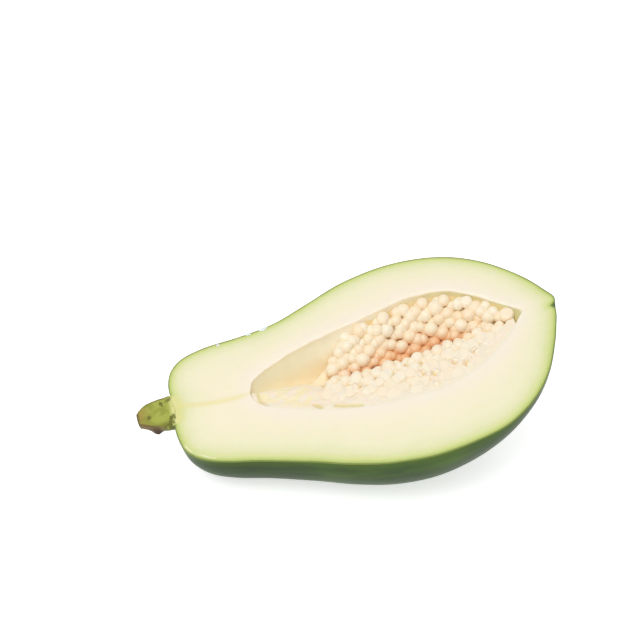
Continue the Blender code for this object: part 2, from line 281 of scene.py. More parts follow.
class Finish:
    """A material and the nodes that make its pattern."""

    def __init__(self, name, scatter=None, **constants):
        self.material = bpy.data.materials.new(name)
        self.material.use_nodes = True
        self.tree = self.material.node_tree
        self.shader = self.tree.nodes["Principled BSDF"]
        for socket, value in constants.items():
            self.shader.inputs[socket.replace("_", " ")].default_value = value
        if scatter:
            self.shader.inputs["Subsurface Radius"].default_value = scatter

    def node(self, kind, settings=None, sockets=None, output=0):
        """A node of that kind: its settings first, then its sockets. Gives one output."""
        made = self.tree.nodes.new(kind)
        for name, setting in (settings or {}).items():
            if name == "stops":
                ramp = made.color_ramp
                while len(ramp.elements) < len(setting):
                    ramp.elements.new(1.0)
                for element, (position, colour) in zip(ramp.elements, setting):
                    element.position = position
                    element.color = colour
            else:
                setattr(made, name, setting)
        for name, value in (sockets or {}).items():
            self.join(made.inputs[name], value)
        return Value(self, made.outputs[output])

    def join(self, socket, value):
        """A link into a socket, or a plain number or colour on it."""
        if isinstance(value, Value):
            self.tree.links.new(value.socket, socket)
        else:
            socket.default_value = value

    def kept(self, name, output="Fac"):
        """A value that the mesh keeps for each point."""
        return self.node("ShaderNodeAttribute", {"attribute_name": name}, output=output)

    def apart(self, place):
        """How far along the fruit, and how far across it, in millimetres."""
        parts = self.node("ShaderNodeSeparateXYZ", {}, {"Vector": place}).socket.node.outputs
        return Value(self, parts[0]), Value(self, parts[1])

    def grain(self, place, scale, detail, stretch=(1, 1, 1)):
        """Noise with that many waves to a millimetre."""
        spread = tuple(scale * s for s in stretch)
        at = self.node("ShaderNodeVectorMath", {"operation": "MULTIPLY"}, {0: place, 1: spread})
        sockets = {"Vector": at, "Scale": 1.0, "Detail": detail}
        return self.node("ShaderNodeTexNoise", {}, sockets, "Fac")

    def mix(self, share, first, second):
        """The first colour, with that share of the second over it."""
        return self.node("ShaderNodeMix", {"data_type": "RGBA"}, {0: share, 6: first, 7: second}, 2)

    def ramp(self, value, stops):
        """Colours laid along a value from 0 to 1."""
        return self.node("ShaderNodeValToRGB", {"stops": stops}, {"Fac": value})

    def relief(self, height, distance, strength, under=None):
        """A bump, its height in millimetres times `distance`, over another bump."""
        sockets = {"Height": height, "Distance": distance * MM, "Strength": strength}
        if under is not None:
            sockets["Normal"] = under
        return self.node("ShaderNodeBump", {}, sockets)

    def finish(self, **sockets):
        """What varies over the surface, on the shader."""
        for name, value in sockets.items():
            self.join(self.shader.inputs[name.replace("_", " ")], value)


# The skin: thin, smooth and waxy, mid green with lighter yellow green along the lobes.
def make_skin():
    skin = Finish(
        "green_skin", IOR=1.42, Specular_IOR_Level=0.1, Coat_Weight=0.03, Coat_Roughness=0.2
    )
    place = skin.kept("own_place", "Vector")
    blotch = skin.grain(place, 0.035, 3.0, (0.45, 1, 1))
    streak = skin.grain(place, 0.22, 4.0, (0.16, 1, 1))
    fleck = skin.grain(place, 1.3, 2.0)
    deep, mid, pale = shade(28, 48, 8), shade(40, 66, 12), shade(68, 96, 22)
    colour = skin.ramp(blotch * 0.75 + streak * 0.25, ((0.3, deep), (0.5, mid), (0.72, pale)))
    colour = skin.mix(fleck.step(0.66, 0.8) * 0.25, colour, shade(120, 140, 60))
    below = skin.kept("below_cut")
    colour = skin.mix((1 - below.step(0.0, 9.0)) * 0.35, colour, shade(88, 114, 20))
    rim = 1 - below.step(0.0, 1.4)
    colour = skin.mix(rim * 0.8, colour, shade(140, 150, 74))
    skin.finish(
        Base_Color=colour,
        Roughness=0.3 + 0.14 * streak,
        Normal=skin.relief(fleck, 0.05, 0.5, skin.relief(streak, 0.5, 0.4)),
    )
    return skin


# The flesh: a green line where the skin was cut, a yellow green band under it, then cream
# that turns faintly pink near the hollow. One pale yellow vein runs in from the stem.
BAND_REACH = 26.0
BAND_STOPS = (
    (0.0, (84, 106, 40)),
    (0.35, (112, 134, 54)),
    (0.75, (176, 192, 104)),
    (1.8, (205, 215, 134)),
    (3.6, (221, 226, 160)),
    (7.0, (233, 233, 189)),
    (13.0, (243, 238, 203)),
    (26.0, (250, 239, 211)),
)
VEIN_CURVE = (6.0, -0.4, 0.0052)
VEIN_END = 50.0


def make_flesh():
    flesh = Finish(
        "pale_flesh", (1.0, 0.8, 0.45), IOR=1.4, Subsurface_Weight=0.3, Subsurface_Scale=0.002
    )
    place = flesh.kept("own_place", "Vector")
    from_skin, from_hollow = flesh.kept("from_skin"), flesh.kept("from_hollow")
    fibre = flesh.grain(place, 0.25, 4.0, (0.25, 1, 1))
    cell = flesh.grain(place, 2.4, 3.0)
    cloud = flesh.grain(place, 0.05, 2.0)
    stops = [(mm / BAND_REACH, shade(*rgb)) for mm, rgb in BAND_STOPS]
    x, y = flesh.apart(place)
    uneven = 0.55 * cloud + 0.35 * flesh.grain(place, 0.3, 3.0)
    wander = from_skin * (0.55 + uneven + 0.4 * y.step(5.0, 40.0))
    colour = flesh.ramp(wander / BAND_REACH, stops)
    near_hollow = 1 - from_hollow.step(0.0, 14.0)
    colour = flesh.mix(near_hollow * 0.6, colour, shade(255, 240, 226))
    start, slope, bend = VEIN_CURVE
    vein = (y - (start + x * slope + x * x * bend)).bell(0.0, 1.7) * (1 - x.step(40.0, VEIN_END))
    colour = flesh.mix(vein * 0.6, colour, shade(238, 226, 156))
    over_stem = 1 - ((y - 2.0) * (y - 2.0)).step(70.0, 120.0)
    colour = flesh.mix(over_stem * (1 - x.step(1.0, 9.0)), colour, shade(230, 226, 156))
    # The hollow's wall: olive below the rim, more so towards the blossom end, partly the flesh's own
    # tone and partly painted shade; paler cream further down.
    sunk = flesh.kept("sunk")
    olive = flesh.mix(x.step(120.0, 200.0), shade(243, 233, 197), shade(218, 210, 150))
    wall_shown = 0.9 - 0.5 * x.bell(118.0, 26.0)
    colour = flesh.mix(sunk.step(0.2, 2.0) * wall_shown, colour, olive)
    colour = flesh.mix(sunk.step(6.0, 18.0) * 0.85, colour, shade(248, 228, 187))
    # A thin pale line on the cut face by the near rim.
    colour = flesh.mix(flesh.kept("nick") * 0.8, colour, shade(246, 244, 206))
    colour = flesh.mix((fibre - 0.5).step(0.0, 0.5) * 0.10, colour, shade(235, 225, 180))
    wet = flesh.relief(fibre, 0.22, 0.35, flesh.relief(cell, 0.06, 0.4))
    flesh.finish(Base_Color=colour, Roughness=0.36 + 0.2 * cell, Normal=wet)
    return flesh


outer = smooth(FRUIT_STATIONS, STATION_SPANS)
hollow = smooth(HOLLOW_STATIONS, STATION_SPANS)
inner = np.stack(
    [np.interp(travelled(outer), travelled(hollow), hollow[:, k]) for k in range(hollow.shape[1])],
    axis=1,
)
for side, seed in ((0, 1.0), (2, 2.0)):
    edge = np.pad(inner[:, side:side + 2], ((0, 0), (0, 1)))
    fade = np.minimum(np.abs(inner[:, 1] - inner[:, 3]) / WANDER_WHERE_WIDER, 1)
    inner[:, side + 1] += HOLLOW_EDGE_WANDER * fade * waves(edge, 6.0, seed)

under = math.pi * (1 + np.arange(SKIN_STEPS + 1) / SKIN_STEPS)
dents = SKIN_DRAW_IN + SKIN_DENTS * (1 + waves(sections(outer, under), 22.0, 3.0)) / 2
skin_arc = sections(outer, under, dents)
hollow_arc = sections(inner, math.pi * (2 - np.arange(HOLLOW_STEPS + 1) / HOLLOW_STEPS))
share = np.array(CUT_SHARES)[None, :, None]
far_strip = skin_arc[:, -1:] * (1 - share) + hollow_arc[:, :1] * share
near_strip = (skin_arc[:, :1] * (1 - share) + hollow_arc[:, -1:] * share)[:, ::-1]
loops = np.concatenate([skin_arc, far_strip, hollow_arc, near_strip], axis=1)
around = loops.shape[1]
points = loops.reshape(-1, 3)

on_skin = np.zeros((len(outer), around), bool)
on_skin[:, :SKIN_STEPS + 1] = True
in_hollow = np.zeros_like(on_skin)
in_hollow[:, SKIN_STEPS + 1 + len(CUT_SHARES):-len(CUT_SHARES)] = True
on_skin, in_hollow = on_skin.ravel(), in_hollow.ravel()
on_cut = ~on_skin & ~in_hollow

nick = np.where(on_cut, bump_shape(distance_to(points, PALE_LINE_ON_CUT), PALE_LINE_WIDTH), 0.0)
skin_line = np.vstack([skin_arc[:, 0], skin_arc[::-1, -1]])
hollow_line = np.vstack([hollow_arc[:, 0], hollow_arc[::-1, -1]])
from_skin, from_hollow = np.zeros(len(points)), np.zeros(len(points))
from_skin[on_cut] = distance_to(points[on_cut], skin_line)
from_hollow[on_cut] = distance_to(points[on_cut], hollow_line)
from_skin[in_hollow] = INSIDE_HOLLOW
below_cut = np.maximum(-points[:, 2], 0)

# The knife left the face a little uneven, its edge to the hollow soft, and the walls of the
# hollow in long shallow folds.
dent, rough = waves(points[on_cut], 9.0, 4.0), waves(points[on_cut], 1.6, 5.0)
points[on_cut, 2] -= FACE_DENT * (1 + dent) + FACE_GRAIN * rough
far_edge = np.clip(points[on_cut, 1] / FAR_EDGE_FROM, 0, 1)
hollow_edge = far_edge * bump_shape(from_hollow[on_cut], HOLLOW_EDGE_WIDTH)
skin_edge = bump_shape(from_skin[on_cut], SKIN_EDGE_WIDTH)
points[on_cut, 2] -= HOLLOW_EDGE_DROP * hollow_edge + SKIN_EDGE_DROP * skin_edge
wall = points[in_hollow]
folds = waves(wall * (0.25, 1, 1), 3.5, 6.0) + 0.5 * waves(wall, 1.7, 7.0)
fold_share = folds * np.minimum(below_cut[in_hollow] / WALL_FOLD_DEPTH, 1)
points[in_hollow, 1:] *= 1 + WALL_FOLD * fold_share[:, None]
points[in_hollow, 2] = np.minimum(points[in_hollow, 2], -WALL_BELOW_CUT)

fruit = add_piece(
    "fruit_half_fine",
    points,
    ring_faces(len(outer), around),
    {
        "from_skin": from_skin,
        "from_hollow": from_hollow,
        "sunk": np.where(in_hollow, below_cut, 0.0),
        "below_cut": below_cut,
        "nick": nick,
    },
    [make_skin(), make_flesh()],
    [0 if j < SKIN_STEPS else 1 for _ in range(len(outer) - 1) for j in range(around)],
)
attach(fruit, "root")
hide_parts("fruit_half")


# The seeds: soft wet beads, white to peach, each in its own jelly. They grow in staggered rows
# on two banks of tissue with a crevice between. Their roots, and the deeper ones in the crevice,
# are painted tan to orange as shade. The knife halved those on the near side.
SEED_RADIUS = 3.5
SEED_SPREAD = 0.13
SEED_SQUASH = 1.1
SEEDS_TO = 203.0
COLUMN_PITCH = 6.3
ROW_PITCH = 7.3
ROW_STAGGER = (0.75, 0.25)
SEED_STRAY = 0.9
SEED_RISE = (0.15, 0.55)
SEED_DRAW = 5
SEED_SIDES = 20
SEED_RINGS = 12
DEEP_SEED_SINK = 0.55
SEED_FULLNESS = (1.02, 1.26)
KNIFE_DEPTHS = (0.3, 0.95)
CUT_SOFTNESS = 0.7
SOCKET_SHARE = 0.2
NEAR_SIDE_FROM = 6.0
HALVED_FROM = 4.0
LOOKS_DRAW = 11
SEED_LUMP = 0.05
SEED_OVAL = (0.9, 1.06)

# The top of the tissue across the hollow, where it bears seeds and where it is bare: shares of
# the hollow's half width, from the far wall, down into the crevice and up to the near wall.
SEED_BED = (
    (1.02, -0.09), (0.76, -0.24), (0.5, -0.43), (0.22, -0.64), (0.08, -0.68),
    (-0.06, -0.5), (-0.2, -0.22), (-0.4, -0.11), (-0.7, -0.1), (-1.02, -0.08),
)
BARE_BED = (
    (1.02, -0.7), (0.76, -0.74), (0.5, -0.76), (0.28, -0.66), (0.1, -0.42),
    (-0.04, -0.2), (-0.2, -0.1), (-0.4, -0.06), (-0.7, -0.05), (-1.02, -0.04),
)
CREVICE_POINT = 4
BED_START = 47.0
BED_BUILD_UP = 14.0
SEEDS_FROM = 93.0
SEEDS_FROM_FAR = 0.03
SEEDS_FROM_NEAR = 0.35
TORN_FROM = 84.0
TORN_TO = 112.0
TORN_BELOW = -21.0


def cavity_at(x):
    """Middle and half width of the hollow, in the plane of the cut, at x."""
    far, near = (float(np.interp(x, hollow[:, k], hollow[:, k + 1])) for k in (0, 2))
    return (far + near) / 2, (far - near) / 2


def seeds_start(y):
    """How far from the stem the seeds begin, at this place across the hollow."""
    return SEEDS_FROM + (SEEDS_FROM_FAR * y * y if y > 0 else SEEDS_FROM_NEAR * y)


def bed_top(x):
    """The bed's top across the hollow at x, from the far wall to the near wall."""
    middle, half = cavity_at(x)
    line = []
    for bare, full in zip(BARE_BED, SEED_BED):
        past = x - seeds_start(middle + half * bare[0])
        built = min(max(past / BED_BUILD_UP + 1.0, 0.0), 1.0)
        y = bare[0] + built * (full[0] - bare[0])
        z = bare[1] + built * (full[1] - bare[1])
        line.append(Vector((x, middle + half * y, half * z)))
    return line


def along(line, distance):
    """The point that far along a line of points, and which way the line's top faces."""
    for before, after in zip(line, line[1:]):
        step = after - before
        if distance <= step.length:
            break
        distance -= step.length
    facing = Vector((0, step.z, -step.y)).normalized()
    return before + step.normalized() * distance, facing


def bank_places(bank, column, draw):
    """Seeds of one column on one bank of the bed, between the wall and the crevice."""
    length = sum((b - a).length for a, b in zip(bank, bank[1:])) - 2 * SEED_RADIUS
    rows = round(length / ROW_PITCH)
    for row in range(rows):
        distance = SEED_RADIUS + length * (row + ROW_STAGGER[column % 2]) / rows
        distance += draw.uniform(-SEED_STRAY, SEED_STRAY)
        size = SEED_RADIUS * (1 + draw.uniform(-SEED_SPREAD, SEED_SPREAD))
        rise = size * draw.uniform(*SEED_RISE)
        turn = draw.uniform(0, math.pi)
        root, facing = along(bank, distance)
        root.x += draw.uniform(-SEED_STRAY, SEED_STRAY)
        if root.x > seeds_start(root.y):
            yield root + facing * rise, facing, turn, size


def seed_places():
    """(middle, way it grows, turn, size) of every seed: staggered rows over the bed."""
    draw = random.Random(SEED_DRAW)
    places = []
    for column in range(round((SEEDS_TO - BED_START) / COLUMN_PITCH)):
        line = bed_top(SEEDS_TO - column * COLUMN_PITCH)
        for bank in (line[:CREVICE_POINT + 1], line[CREVICE_POINT:]):
            places.extend(bank_places(bank, column, draw))
    return places


def deep_places():
    """Seeds half a column and half a row off the others, sunk deep between them."""
    draw = random.Random(LOOKS_DRAW)
    for column in range(round((SEEDS_TO - BED_START) / COLUMN_PITCH)):
        line = bed_top(SEEDS_TO - (column + 0.5) * COLUMN_PITCH)
        for bank in (line[:CREVICE_POINT + 1], line[CREVICE_POINT:]):
            for middle, facing, turn, size in bank_places(bank, column, draw):
                yield middle - facing * size * DEEP_SEED_SINK, facing, turn, size


def unit_seed():
    """Points and faces of a round bead, from its root at the bottom to its tip at the top."""
    tilt = math.pi * (np.arange(SEED_RINGS + 1) / SEED_RINGS - 0.5)
    turn = 2 * math.pi * np.arange(SEED_SIDES) / SEED_SIDES
    reach = np.cos(tilt)[:, None]
    rings = np.stack([reach * np.cos(turn), reach * np.sin(turn),
                      np.repeat(np.sin(tilt)[:, None], SEED_SIDES, axis=1)], axis=2)
    return rings.reshape(-1, 3), ring_faces(SEED_RINGS + 1, SEED_SIDES)


def make_seed_finish():
    seed = Finish(
        "pale_seed", (1.0, 0.6, 0.35), IOR=1.4, Subsurface_Weight=0.15, Subsurface_Scale=0.0004
    )
    place = seed.kept("own_place", "Vector")
    height, tint = seed.kept("height"), seed.kept("tint")
    deep, merged = seed.kept("depth"), seed.kept("embedded")
    cloud = seed.grain(place, 0.45, 2.0)
    fine = seed.grain(place, 2.2, 2.0)
    cream, peach = shade(255, 244, 220), shade(255, 232, 198)
    colour = seed.mix(tint, cream, peach)
    colour = seed.mix(cloud.step(0.5, 0.75) * 0.4, colour, shade(255, 238, 218))
    colour = seed.mix(merged * 0.6, colour, shade(252, 238, 214))
    # Painted shade: the lower part of each seed, down among its neighbours and in the bed, turns tan
    # to orange.
    root = 1 - height.step(-0.7, 0.25)
    colour = seed.mix(root * 0.8, colour, seed.mix(merged, shade(242, 190, 124), shade(236, 208, 150)))
    # Painted shade: seeds deep in the crevice turn orange.
    colour = seed.mix(deep.step(9.5, 17.5) * 0.7, colour, shade(240, 174, 108))
    seed.finish(
        Base_Color=colour,
        Roughness=0.26 + 0.22 * cloud,
        Normal=seed.relief(fine, 0.04, 0.3),
    )
    return seed


def torn_away(middle):
    """True by the near rim, where the knife tore the tissue and took the seeds with it."""
    return middle.x < TORN_TO and middle.y < TORN_BELOW


looks = random.Random(LOOKS_DRAW)
shown, sockets = [], []
for place in seed_places():
    on_near_side = place[0].y < cavity_at(place[0].x)[0] - NEAR_SIDE_FROM
    (sockets if on_near_side and looks.random() < SOCKET_SHARE else shown).append(place)

bead, bead_faces = unit_seed()
seed_points, seed_faces, heights, tints, depths, embedded = [], [], [], [], [], []
for middle, facing, turn, size in [*shown, *deep_places()]:
    if torn_away(middle):
        continue
    lumps = 1 + SEED_LUMP * waves(bead, 0.9, looks.uniform(0, 50))[:, None]
    full = size * looks.uniform(*SEED_FULLNESS)
    shaped = bead * lumps * (full, full * looks.uniform(*SEED_OVAL), full * SEED_SQUASH)
    turned = facing.to_track_quat("Z", "X") @ Quaternion((0, 0, 1), turn)
    placed = shaped @ np.array(turned.to_matrix()).T + np.array(middle)
    knife_at = -looks.uniform(*KNIFE_DEPTHS)
    below = knife_at - placed[:, 2]
    placed[:, 2] = knife_at - (below + np.sqrt(below**2 + CUT_SOFTNESS**2)) / 2
    base = len(seed_points) * len(bead)
    seed_points.append(placed)
    seed_faces.extend(tuple(base + k for k in face) for face in bead_faces)
    heights.append(bead[:, 2])
    tints.append(np.full(len(bead), looks.random()))
    depths.append(-placed[:, 2])
    embedded.append(np.full(len(bead), float(middle.y < cavity_at(middle.x)[0] - HALVED_FROM)))
seeds = add_piece(
    "seeds",
    np.vstack(seed_points),
    seed_faces,
    {
        "height": np.concatenate(heights),
        "tint": np.concatenate(tints),
        "depth": np.concatenate(depths),
        "embedded": np.concatenate(embedded),
    },
    [make_seed_finish()],
)

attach(seeds, "root")
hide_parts("seed_mass")


# The bed of soft white tissue that the seeds grow from. It fills the near side of the hollow
# and lines its far wall, bare and folded by the stem, with a pale strand along it, and it has
# empty sockets where the knife pulled seeds out.
BED_END = 206.0
BED_ROWS = 250
BED_TOP_STEPS = 110
BED_UNDER_STEPS = 30
BED_INTO_WALL = 1.09
SEEDED_PASSAGE = 8.0
STRAND = ((49.0, -0.5), (58.0, -1.6), (67.0, -1.3), (75.0, -0.4), (83.0, 0.5), (96.0, 2.5))
MOUND_EDGE = ((60.0, 1.6), (54.2, 0.6), (50.4, -3.0), (51.0, -9.0), (54.5, -13.5))
NEAR_GAPS = (
    ((81.4, -21.4), (84.4, -24.6)),
    ((92.5, -26.4), (99.0, -28.8), (107.0, -31.0)),
)
NEAR_FILL = 1.7
CREVICE_SHARE = -0.26
CREVICE_PASSAGE = 0.25
FAR_SIDE_SHARE = 0.02
FAR_SIDE_PASSAGE = 0.2
NEAR_RIM_SHARE = 0.8
NEAR_RIM_PASSAGE = 0.16
STRAND_WIDTH = 1.5
STRAND_RISE = 0.9
STRAND_FADES_AT = 100.0
STRAND_FADE = 12.0
MOUND_EDGE_WIDTH = 1.0
MOUND_EDGE_DROP = 0.6
NEAR_GAP_WIDTH = 1.3
NEAR_GAP_DROP = 0.7
BARE_WALL_DROP = 3.0
BARE_FOLD = 0.7
BARE_GRAIN = 0.3
SEEDED_LUMP = 0.4
TORN_LUMP = 1.3
NEAR_RIM_BELOW_CUT = 0.25
SOCKET_RIM_RISE = 1.8
SOCKET_RIM_WIDTH = 0.9
SOCKET_DROP = 1.2
SOCKET_RIM_AT = 0.85
SOCKET_REACH = 0.6
BED_BELOW_CUT = 0.22


def make_bed_finish():
    bed = Finish(
        "white_tissue", (1.0, 0.65, 0.4), IOR=1.4, Subsurface_Weight=0.35, Subsurface_Scale=0.0015
    )
    place = bed.kept("own_place", "Vector")
    groove, strand, seeded = bed.kept("groove"), bed.kept("strand"), bed.kept("seeded")
    fibre = bed.grain(place, 0.5, 4.0, (0.3, 1, 1))
    fine = bed.grain(place, 1.8, 3.0)
    far, deep = bed.kept("far_side"), bed.kept("depth")
    x = bed.apart(place)[0]
    colour = bed.ramp(fibre, ((0.35, shade(250, 232, 204)), (0.65, shade(253, 236, 218))))
    colour = bed.mix(fine.step(0.55, 0.75) * 0.5 * (1 - seeded), colour, shade(244, 226, 180))
    patch = bed.grain(place, 0.16, 3.0)
    colour = bed.mix(patch.step(0.47, 0.6) * 0.6 * (1 - seeded), colour, shade(251, 235, 184))
    # The bare far wall: a little darker and yellower, partly its own tone and partly painted shade.
    # Where the bare bed lies deep it is painted a lighter cream, painted light that evens out the
    # hollow.
    wall = bed.ramp(fibre, ((0.35, shade(243, 225, 184)), (0.65, shade(249, 231, 196))))
    colour = bed.mix(far * (1 - seeded), colour, wall)
    colour = bed.mix((1 - seeded) * deep.step(2.0, 8.0) * 0.7, colour, shade(255, 241, 214))
    colour = bed.mix(bed.kept("near_rim"), colour, shade(251, 238, 214))
    # Painted shade where the seeds crowd the bed: tan on the far bank and where the bed sinks under
    # them, olive on the far bank towards the blossom end (partly its own tone), and orange brown deep
    # in the crevice.
    colour = bed.mix(seeded * far * 0.9, colour, shade(230, 206, 148))
    colour = bed.mix(seeded * far * x.step(138.0, 160.0) * 0.8, colour, shade(214, 206, 142))
    colour = bed.mix(seeded * deep.step(1.0, 3.2) * 0.8, colour, shade(236, 208, 150))
    colour = bed.mix(seeded * deep.step(5.0, 17.0) * 0.9, colour, shade(206, 138, 78))
    colour = bed.mix(strand * 0.9, colour, shade(255, 241, 203))
    # Painted shade along the mound's edge, at the bottoms of the sockets and in the gaps by the near
    # rim.
    colour = bed.mix(groove * 0.75, colour, shade(226, 210, 142))
    bed.finish(
        Base_Color=colour,
        Roughness=0.34 + 0.2 * fine,
        Normal=bed.relief(fibre, 0.18, 0.35, bed.relief(fine, 0.08, 0.35)),
    )
    return bed


bed_rings, top_count = [], BED_TOP_STEPS + 1
for x in np.linspace(BED_START, BED_END, BED_ROWS):
    top = np.array([tuple(p) for p in bed_top(x)])
    way = np.concatenate([[0.0], np.cumsum(np.linalg.norm(np.diff(top, axis=0), axis=1))])
    spots = np.linspace(0, way[-1], top_count)
    top = np.stack([np.interp(spots, way, top[:, k]) for k in range(3)], axis=1)
    middle, half = cavity_at(x)
    angles = math.pi * (1 + np.linspace(0.03, 0.97, BED_UNDER_STEPS))
    lobe, depth = (float(np.interp(x, hollow[:, 0], hollow[:, k])) for k in (4, 5))
    reach = half * BED_INTO_WALL
    row = np.array([(x, middle + reach, x, middle - reach, lobe, depth)])
    bed_rings.append(np.vstack([top, sections(row, angles)[0]]))
bed_points = np.array(bed_rings)
bed_around = bed_points.shape[1]
top = bed_points[:, :top_count]
flat = top.reshape(-1, 3)
starts = np.array([seeds_start(y) for y in flat[:, 1]])
seeded = np.clip((flat[:, 0] - starts) / SEEDED_PASSAGE + 0.5, 0, 1)
strand = bump_shape(distance_to(flat, STRAND), STRAND_WIDTH)
strand *= np.clip((STRAND_FADES_AT - flat[:, 0]) / STRAND_FADE, 0, 1)
mound_edge = bump_shape(distance_to(flat, MOUND_EDGE), MOUND_EDGE_WIDTH) * (1 - strand)
gaps = [bump_shape(distance_to(flat, line), NEAR_GAP_WIDTH) for line in NEAR_GAPS]
near_gaps = np.max(gaps, axis=0)
middles, halves = np.array([cavity_at(x) for x in flat[:, 0]]).T
across = (flat[:, 1] - middles) / halves
near_side = np.clip((CREVICE_SHARE - across) / CREVICE_PASSAGE, 0, 1)
far_side = np.clip((across - FAR_SIDE_SHARE) / FAR_SIDE_PASSAGE, 0, 1)
from_torn_middle = np.abs(flat[:, 0] - (TORN_FROM + TORN_TO) / 2)
torn = near_side * np.clip(1 - from_torn_middle / (TORN_TO - TORN_FROM) * 2, 0, 1)
near_rim = np.clip((-across - NEAR_RIM_SHARE) / NEAR_RIM_PASSAGE, 0, 1)

lift = STRAND_RISE * strand - MOUND_EDGE_DROP * mound_edge - NEAR_GAP_DROP * near_gaps
lift -= BARE_WALL_DROP * far_side * (1 - seeded)
bare_folds = BARE_FOLD * waves(flat * (0.3, 1, 1), 3.2, 8.0) + BARE_GRAIN * waves(flat, 1.5, 9.0)
lift += (1 - seeded) * (1 - 0.9 * far_side) * bare_folds
lift += seeded * (SEEDED_LUMP * waves(flat, 2.4, 10.0) + NEAR_FILL * near_side)
lift += torn * TORN_LUMP * waves(flat * (1, 0.6, 1), 4.2, 15.0)
lift += near_rim * (np.maximum(-flat[:, 2] - NEAR_RIM_BELOW_CUT, 0) - lift) * (1 - near_gaps)
pit_shade = np.zeros(len(flat))
for middle, facing, turn, size in sockets:
    away = np.linalg.norm(flat[:, :2] - np.array(middle)[:2], axis=1)
    lift += SOCKET_RIM_RISE * bump_shape(away - size * SOCKET_RIM_AT, SOCKET_RIM_WIDTH)
    lift -= SOCKET_DROP * bump_shape(away, size * SOCKET_REACH)
    # Painted shade at the bottom of each socket.
    pit_shade += 0.6 * bump_shape(away, size * 0.55)
flat[:, 2] = np.minimum(flat[:, 2] + lift, -BED_BELOW_CUT)
bed_points[:, :top_count] = flat.reshape(top.shape)


def whole_ring(numbers):
    """Values on the top of the bed, with none on its hidden underside."""
    return np.pad(numbers.reshape(BED_ROWS, top_count), ((0, 0), (0, BED_UNDER_STEPS))).ravel()


ends = [np.repeat(bed_points[k].mean(axis=0)[None, None], bed_around, axis=1) for k in (0, -1)]
bed = add_piece(
    "seed_bed",
    np.concatenate([ends[0], bed_points, ends[1]]).reshape(-1, 3),
    ring_faces(BED_ROWS + 2, bed_around),
    {
        name: np.pad(whole_ring(numbers), bed_around)
        for name, numbers in (
            # Painted shade: the mound's edge, the sockets' bottoms and the near gaps.
            ("groove", np.clip(mound_edge + 0.8 * pit_shade + near_gaps, 0, 1)),
            ("strand", strand),
            ("seeded", seeded),
            ("far_side", far_side),
            ("depth", -flat[:, 2]),
            ("near_rim", near_rim),
        )
    },
    [make_bed_finish()],
)
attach(bed, "root")
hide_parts("seed_mass")


# The stem: the short thick stalk that the fruit hung from, yellow green and scarred, broken off
# at its end, with a brown rim. It grew out of the flesh, and the knife that halved the fruit
# shaved its upper side nearly flush with the cut.
STEM_STATIONS = (
    (1.6, 1.9, -0.4, 9.6),
    (0.9, 1.9, -0.4, 11.1),
    (-1.5, 2.0, -0.4, 11.1),
    (-4.5, 2.1, -0.4, 10.6),
    (-8.0, 2.3, -0.4, 10.1),
    (-11.5, 2.5, -0.5, 9.4),
    (-15.0, 2.6, -0.6, 8.4),
    (-18.3, 2.2, -0.7, 6.8),
    (-21.3, 1.6, -0.8, 4.6),
)
STEM_SLANT = 0.05
SLANT_ACROSS = 0.79
SLANT_UP = 0.62
STEM_KNOBS = ((-12.6, 214.0, 2.6), (-5.5, 205.0, 0.8), (-6.5, 310.0, 1.0))
KNOB_LENGTH = 3.0
KNOB_WIDTH = math.radians(26)
SHAVED_FROM = np.array((1.6, 0.0, 0.0))
SHAVED_FACING = np.array((0.08, 0.0, 1.0)) / math.hypot(0.08, 1.0)
SHAVED_ROUGH = 0.25
SHAVED_PASSAGE = 0.4
STEM_SCARS = (
    (-2.0, -2.6, 1.9), (-0.6, -5.6, 2.2), (-3.4, -7.6, 2.2),
    (-6.0, 8.8, 1.7), (-14.4, 0.4, 1.5), (-1.2, 10.4, 1.6),
)
SPOT_WIDTH = 0.9
BROWN_KNOB_FROM = 2.0
BROWN_KNOB_SPREAD = 2.4
FAR_RIM_WIDTH = 0.8
FAR_RIM_BEYOND = -1.0
BARK_WAVE = 0.35
BARK_GRAIN = 0.15
BARK_DRAW_IN = 0.3
END_SINK = 0.35
BROKEN_END_AT = -21.4
BROKEN_RIM_WIDTH = 1.2
KNOB_SPOT = (-13.6, -5.4, -3.4)
STEM_SIDES = 96
STEM_SPANS = 8
END_RINGS = (0.85, 0.7, 0.5, 0.3, 0.1)


